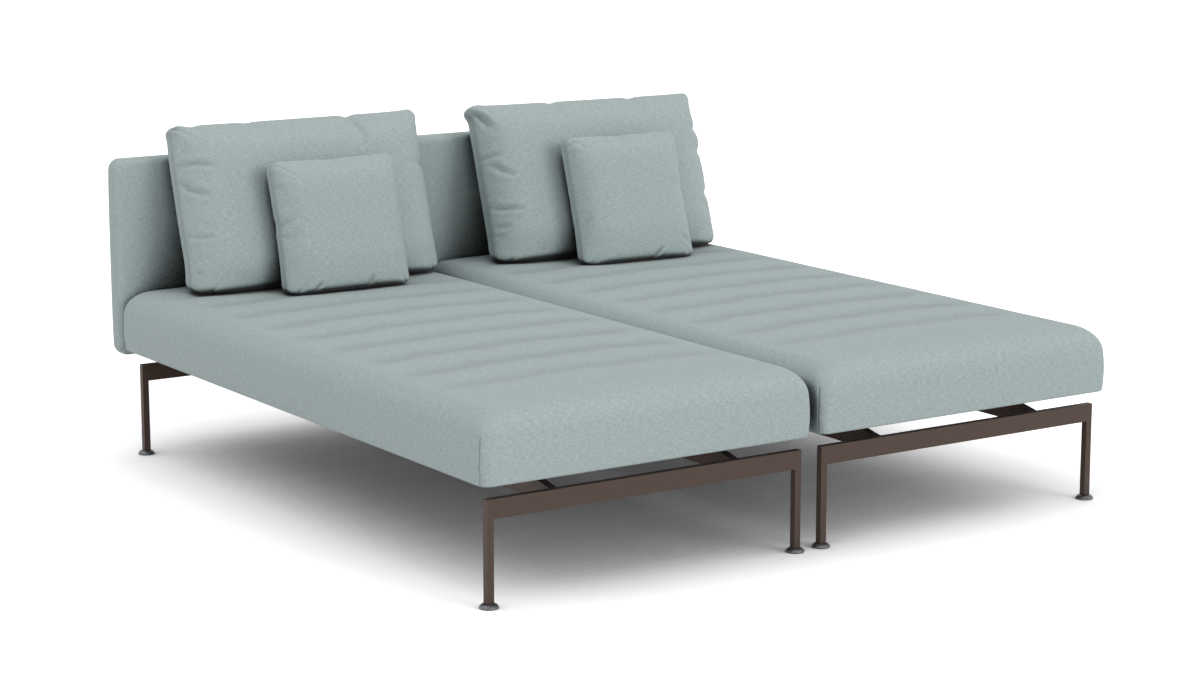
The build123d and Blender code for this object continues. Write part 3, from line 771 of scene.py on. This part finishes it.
def folded(points, folds):
    """Presses folds into the front sheet: each is a path, a depth and a width."""
    x, y, depth = points.T
    front = smooth_step(depth, -2, 8)
    change, painted_crease_shade = np.zeros(len(points)), np.zeros(len(points))
    for path, deep, wide in folds:
        best = np.full(len(points), 1e9)
        fade = np.zeros(len(points))
        path = np.array(path, float)
        lengths = np.linalg.norm(np.diff(path, axis=0), axis=1)
        done = 0.0
        for (start, end), length in zip(zip(path[:-1], path[1:]), lengths):
            run_x, run_y = end[0] - start[0], end[1] - start[1]
            from_x, from_y = x - start[0], y - start[1]
            share = np.clip((from_x * run_x + from_y * run_y) / length ** 2, 0, 1)
            gap = np.hypot(from_x - share * run_x, from_y - share * run_y)
            here = (done + share * length) / lengths.sum()
            fade = np.where(gap < best, here, fade)
            best = np.minimum(best, gap)
            done += length
        strength = np.sin(np.pi * np.clip(0.12 + 0.88 * fade, 0, 1)) ** 0.7
        valley = -np.exp(-((best / wide) ** 2))
        ridges = RIDGE_SHARE * np.exp(-(((best - 2.1 * wide) / (1.1 * wide)) ** 2))
        change += deep * strength * (valley + ridges)
        # Painted shade along each fold's crease.
        painted_crease_shade += deep / 9 * strength * np.exp(-((best / (0.6 * wide)) ** 2))
    points = points.copy()
    points[:, 2] = depth + change * front
    return points, np.clip(painted_crease_shade * front, 0, 1)

# %% [markdown]
# A cushion that stands on a seat is flat underneath, and flat behind where it leans. A simulation
# with every neighbour in it would be slow and hard to steer. So each cushion is turned and leaned
# as a whole, and the points that would go into a neighbour are moved onto its surface.

# %% Standing and leaning a cushion
SEAT_TOP = 440.6
SOLE_EASE = 4
SOLE_SHARE = 0.98
TUCK_SHARE = 0.8


def stood(points, place):
    """Stands the cushion on the seat, leaned and turned, its foot pressed flat."""
    lean, turn = math.radians(place["lean"]), math.radians(place["turn"])
    across = np.array([math.cos(turn), math.sin(turn), 0])
    front = np.array(
        [math.cos(lean) * math.sin(turn), -math.cos(lean) * math.cos(turn), math.sin(lean)]
    )
    up = np.cross(front, across)
    foot = np.array([*place["foot"], SEAT_TOP - place["press"]])
    world = foot + points[:, :1] * across + points[:, 1:2] * up + points[:, 2:] * front
    roll, half = place["round"], abs(points[:, 0]).max()
    short = np.clip(roll - (world[:, 2] - SEAT_TOP), 0, roll)
    tuck = roll - np.sqrt(roll ** 2 - short ** 2)
    aside = np.sign(points[:, 0]) * smooth_step(abs(points[:, 0]), half - 3 * roll, half)
    world -= (tuck * aside)[:, None] * across
    forward = TUCK_SHARE * tuck * smooth_step(points[:, 2], 15, 50)
    world -= forward[:, None] * front * (1, 1, 0)
    low = SEAT_TOP - world[:, 2]
    squash = np.exp(-np.clip(low + SOLE_EASE, 0, None) / SOLE_EASE)
    sole = SEAT_TOP + SOLE_EASE * squash * SOLE_SHARE
    world[:, 2] = np.where(low > -SOLE_EASE, sole, world[:, 2])
    return world

# %% Keeping a cushion clear of what it leans on
COVER_GAP = 0.6
SEARCH_REACH = 60


def kept_off_panel(world):
    """Flattens the cushion's back where it touches the panel and its rolled top edge."""
    roll, gap = PANEL_ROLL, COVER_GAP
    middle_y, middle_z = PANEL["front"] + roll, PANEL["bottom"] + PANEL["height"] - roll
    rise = np.clip(world[:, 2] - middle_z, 0, None)
    limit = middle_y - np.sqrt(np.clip((roll + gap) ** 2 - rise ** 2, 0, None))
    limit = np.where(rise > roll + gap, 1e6, limit)
    world[:, 1] = np.minimum(world[:, 1], limit)
    return world


def kept_off_cushion(world, back_points, back_faces):
    """Moves points of the pillow that lie inside the cushion behind it out to its face."""
    tree = BVHTree.FromPolygons([Vector(p) for p in back_points], back_faces)
    pressed = 0
    for number, point in enumerate(world):
        near, normal, _, _ = tree.find_nearest(Vector(point), SEARCH_REACH)
        if near is None:
            continue
        if (Vector(point) - near).dot(normal) < COVER_GAP:
            world[number] = near + normal * COVER_GAP
            pressed += 1
    print("pillow points pressed against the cushion:", pressed)
    return world

# %% [markdown]
# The sizes could come from the CAD cushions, but a filled cushion never keeps its pattern's size,
# so they are fitted to the photograph. Run is how far in from the seam a cushion is fully thick,
# and foot_run is the same at its lower edge. Draw is how far the middles of its edges pull in, and
# corner how round its corners are. Foot is where it stands, lean and turn are in degrees, press is
# how far its lower edge is squashed, and round how softly that edge rolls.

# %% Sizes and places of the loose cushions
BACK_PATTERN = {"thickness": 166.0, "run": 105.0, "foot_run": 42.0, "draw": 0.0, "corner": 26.0}
BACK = {
    "left": {"width": 742.0, "height": 494.0, **BACK_PATTERN},
    "right": {"width": 727.0, "height": 493.0, **BACK_PATTERN},
}
PILLOW_PATTERN = {"thickness": 124.0, "run": 80.0, "foot_run": 42.0, "draw": 2.0, "corner": 26.0}
PILLOW = {
    "left": {"width": 374.0, "height": 381.0, **PILLOW_PATTERN},
    "right": {"width": 364.0, "height": 391.0, **PILLOW_PATTERN},
}
BACK_PLACES = {
    "left": {"foot": (-404.5, 698.0), "lean": 16.5, "turn": 0.0, "press": 44.0, "round": 26.0},
    "right": {"foot": (503.0, 661.5), "lean": 19.5, "turn": -3.5, "press": 40.0, "round": 26.0},
}
PILLOW_PLACES = {
    "left": {"foot": (-397.0, 553.0), "lean": 14.5, "turn": 0.0, "press": 26.0, "round": 18.0},
    "right": {"foot": (502.0, 506.0), "lean": 18.2, "turn": -3.5, "press": 26.0, "round": 18.0},
}
print("loose cushions:", len(BACK) + len(PILLOW))

# %% [markdown]
# The puckers, folds and ears below were read from the photograph, because chance folds would
# not look like this lounger. A pucker is a place on the seam: edge, share along it from -1 to 1,
# depth and half width; a depth below zero is a bulge. A fold is a path on the front sheet, measured
# from the middle of the lower seam, with its depth and half width. An ear is a pull on the outline:
# its place from -1 to 1, how far it goes, and how wide it is.

# %% Puckers of each loose cushion
BACK_PUCKERS = {
    "left": (
        ("top", -0.85, 4, 22), ("top", -0.41, 3, 20), ("top", 0.41, 7, 14),
        ("right", 0.34, 9, 11), ("left", -0.1, -8, 170), ("left", 0.6, -4, 90),
    ),
    "right": (
        ("top", -0.30, 5, 14), ("top", 0.42, 5, 16), ("right", 0.80, 7, 45),
        ("right", 0.52, 8, 9), ("right", 0.385, -5, 22), ("right", 0.245, 8, 9),
        ("right", -0.01, -3, 40), ("right", -0.265, 8, 10),
    ),
}
PILLOW_PUCKERS = {
    "left": (("top", -0.05, 3, 30), ("left", 0.1, 3, 18), ("right", 0.1, -4, 90)),
    "right": (("top", -0.1, 3, 26), ("right", 0.1, 3, 16)),
}

# %% Folds of each loose cushion
BACK_FOLDS = {
    "left": (
        (((-370, 382), (-356, 380), (-334, 378), (-290, 364)), 6, 7),
        (((-366, 336), (-354, 312), (-336, 300), (-312, 290)), 7, 7),
        (((-368, 192), (-348, 184), (-312, 180)), 5, 6),
        (((-370, 482), (-350, 477)), 9, 5),
        (((-366, 96), (-352, 84)), 4, 5),
        (((150, 476), (165, 431), (160, 381)), 3, 14),
    ),
    "right": (
        (((-366, 474), (-348, 450), (-330, 412)), 9, 7),
        (((-362, 328), (-344, 332), (-318, 336)), 5, 6),
        (((-340, 308), (-322, 286), (-290, 268)), 6, 7),
        (((-362, 196), (-340, 182), (-280, 170)), 6, 7),
        (((-358, 134), (-320, 129)), 4, 7),
        (((-362, 112), (-335, 106)), 3, 6),
    ),
}
PILLOW_FOLDS = {
    "left": (
        (((-186, 318), (-170, 298)), 4, 6),
        (((-186, 360), (-168, 366)), 4, 5),
        (((-184, 196), (-169, 210), (-150, 222)), 4, 7),
        (((-184, 186), (-166, 168)), 3, 6),
        (((46, 30), (54, 56)), 4, 5),
        (((-112, 30), (-96, 48)), 3, 5),
    ),
    "right": (
        (((-182, 352), (-152, 374)), 4, 6),
        (((38, 28), (58, 52)), 5, 5),
        (((-172, 128), (-150, 154)), 3, 6),
        (((150, 60), (120, 80)), 3, 7),
    ),
}

# %% Ears of each back cushion
BACK_EARS = {
    "left": (
        ((-1, 1), (-2, 3), 20), ((-1, 0.93), (-4, 0), 12),
        ((1, 0.95), (3, 3), 30), ((-1, -0.8), (-7, 0), 60),
    ),
    "right": (((-1, 0.90), (-9, 2), 17), ((-1, 1), (-6, 5), 26), ((1, 1), (4, 16), 13)),
}

# %% [markdown]
# The back cushion is made first and leaned on its panel. The pillow comes second, because it leans
# on the finished cushion. A pillow holds a little more filling for its size, so it is fuller. The
# four could be copies of two, but no two hand-filled cushions match, so each is made by itself.

# %% One loose cushion from start to end
PAINTED_SEAM_SHADE = 0.6


def loose_cushion(name, size, cells, puckers, ears, folds, cap):
    """A cushion in its own plane: its points, its squares and the painted shade of each point."""
    points, faces = sheet_mesh(*two_sheets(size, cells, puckers, ears))
    points = filled(name, points, faces, cap)
    points, faces, seam = finer(points, faces)
    points, painted_crease_shade = folded(sewn(points, seam, size), folds)
    # Painted shade: darker colour along the folds and the seam.
    return points, faces, np.maximum(painted_crease_shade, PAINTED_SEAM_SHADE * seam ** 2)

# %% Sew, fill and place the four loose cushions
BACK_CELLS, PILLOW_CELLS = (112, 74), (62, 64)
BACK_CAP, PILLOW_CAP = 14, 9
for side in SIDES:
    back, back_faces, pressed = loose_cushion(
        f"{side}_back_filling", BACK[side], BACK_CELLS,
        BACK_PUCKERS[side], BACK_EARS[side], BACK_FOLDS[side], BACK_CAP,
    )
    back = kept_off_panel(stood(back, BACK_PLACES[side]))
    name, replaced = f"{side}_back_cover", f"{side}_back_cushion"
    sewn_piece(name, back, back_faces, f"{side}_back", replaced, pressed)
    pillow, faces, pressed = loose_cushion(
        f"{side}_pillow_filling", PILLOW[side], PILLOW_CELLS,
        PILLOW_PUCKERS[side], (), PILLOW_FOLDS[side], PILLOW_CAP,
    )
    pillow = kept_off_cushion(stood(pillow, PILLOW_PLACES[side]), back, back_faces)
    name, replaced = f"{side}_pillow_cover", f"{side}_throw_pillow"
    sewn_piece(name, pillow, faces, f"{side}_pillow", replaced, pressed)

# %% [markdown]
# ## Floor
# The floor has to look white and still carry the soft shadow of the lounger. More light would
# bleach the cloth too. So the floor's own colour is brighter to the camera, and in reflections,
# than it is to the light that bounces off it, and a painted shadow deepens the real one where the
# lounger shelters it.

# %% The floor
FLOOR_HALF = 40.0
FLOOR_BOUNCE = (0.80, 0.80, 0.80, 1)
FLOOR_SEEN = (1.60, 1.59, 1.585, 1)
FLOOR_REACH = 0.5
FLOOR_PAINTED_SHADOW = ((0.10, 0.18), (0.30, 0.50), (0.60, 0.82), (0.90, 1.0))
FLOOR_TURNS = ((-1, -1), (1, -1), (1, 1), (-1, 1))
FLOOR_CORNERS = [(x * FLOOR_HALF, y * FLOOR_HALF, 0) for x, y in FLOOR_TURNS]
floor_mesh = bpy.data.meshes.new("studio_floor")
floor_mesh.from_pydata(FLOOR_CORNERS, [], [(0, 1, 2, 3)])
floor = bpy.data.objects.new("studio_floor", floor_mesh)
scene.collection.objects.link(floor)
floor_paint = bpy.data.materials.new("studio_floor_white")
floor_paint.use_nodes = True
tree = floor_paint.node_tree
tree.nodes.clear()
path = tree.nodes.new("ShaderNodeLightPath")
paint = tree.nodes.new("ShaderNodeBsdfDiffuse")
shade = tree.nodes.new("ShaderNodeMix")
shade.data_type = "RGBA"
shade.inputs["A"].default_value = FLOOR_BOUNCE
shade.inputs["B"].default_value = FLOOR_SEEN
seen = math_node(tree, "MAXIMUM", path.outputs["Is Camera Ray"], path.outputs["Is Glossy Ray"])
seen = math_node(tree, "MAXIMUM", seen, path.outputs["Is Transmission Ray"])
tree.links.new(seen, shade.inputs["Factor"])
# Painted shadow: the floor's colour darkens where the lounger encloses it.
painted_floor_shadow = painted_enclosed_shade(tree, FLOOR_REACH, FLOOR_PAINTED_SHADOW)
tree.links.new(multiplied(tree, shade.outputs["Result"], painted_floor_shadow), paint.inputs["Color"])
surface = tree.nodes.new("ShaderNodeOutputMaterial")
tree.links.new(paint.outputs["BSDF"], surface.inputs["Surface"])
floor_mesh.materials.append(floor_paint)
print("floor, side to side:", 2 * FLOOR_HALF, "m")

# %% [markdown]
# ## Light
# The photograph has soft light from all round, a little more of it from the front right, and some
# from above on the left. Lamps close by would do it too, but suns give the same light at every
# pose. The sky is plain white to the camera and a little lower as a lamp, so that pale cloth keeps
# its tone.

# %% The sky
SKY_LEVEL = 0.745
world = bpy.data.worlds.new("studio_white")
world.use_nodes = True
tree = world.node_tree
tree.nodes.clear()
path = tree.nodes.new("ShaderNodeLightPath")
seen = math_node(tree, "MAXIMUM", path.outputs["Is Camera Ray"], path.outputs["Is Glossy Ray"])
seen = math_node(tree, "MAXIMUM", seen, path.outputs["Is Transmission Ray"])
strength = math_node(tree, "MULTIPLY_ADD", seen, 1 - SKY_LEVEL)
strength.node.inputs[2].default_value = SKY_LEVEL
sky = tree.nodes.new("ShaderNodeBackground")
sky.inputs["Color"].default_value = (1, 1, 1, 1)
tree.links.new(strength, sky.inputs["Strength"])
surface = tree.nodes.new("ShaderNodeOutputWorld")
tree.links.new(sky.outputs["Background"], surface.inputs["Surface"])
scene.world = world
print("sky as a lamp:", SKY_LEVEL)

# %% Two soft suns
def soft_sun(name, toward, level, spread):
    """A wide soft light from one direction; level is the tone it gives a white card facing it."""
    lamp = bpy.data.lights.new(name, "SUN")
    lamp.energy = level * math.pi
    lamp.angle = math.radians(spread)
    holder = bpy.data.objects.new(name, lamp)
    holder.rotation_euler = Vector(toward).to_track_quat("Z", "Y").to_euler()
    scene.collection.objects.link(holder)
    print(name, "level", level, "spread", spread, "degrees")


soft_sun("front_light", (0.30, -0.90, 0.32), 0.29, 30)
soft_sun("top_light", (-0.52, 0.18, 0.83), 0.13, 50)

# %% [markdown]
# ## Camera
# A camera can be placed by eye, or worked out from what should look square and level. Here the leg
# frames' right angles and the feet's contacts with the floor gave its place, its tilt and its lens.

# %% The camera, at the photograph's own angle
LENS_MM, SENSOR_MM = 85.35, 36.0
CAMERA_PLACE = (-3.962, -5.990, 1.746)
CAMERA_DOWN, CAMERA_TURN = 10.97, -33.702
lens = bpy.data.cameras.new("photograph_camera")
lens.lens = LENS_MM
lens.sensor_width = SENSOR_MM
camera = bpy.data.objects.new("photograph_camera", lens)
camera.location = CAMERA_PLACE
camera.rotation_euler = (math.radians(90 - CAMERA_DOWN), 0, math.radians(CAMERA_TURN))
scene.collection.objects.link(camera)
scene.camera = camera
scene.view_settings.view_transform = "Standard"
print("camera at", CAMERA_PLACE, "with a lens of", LENS_MM, "mm")
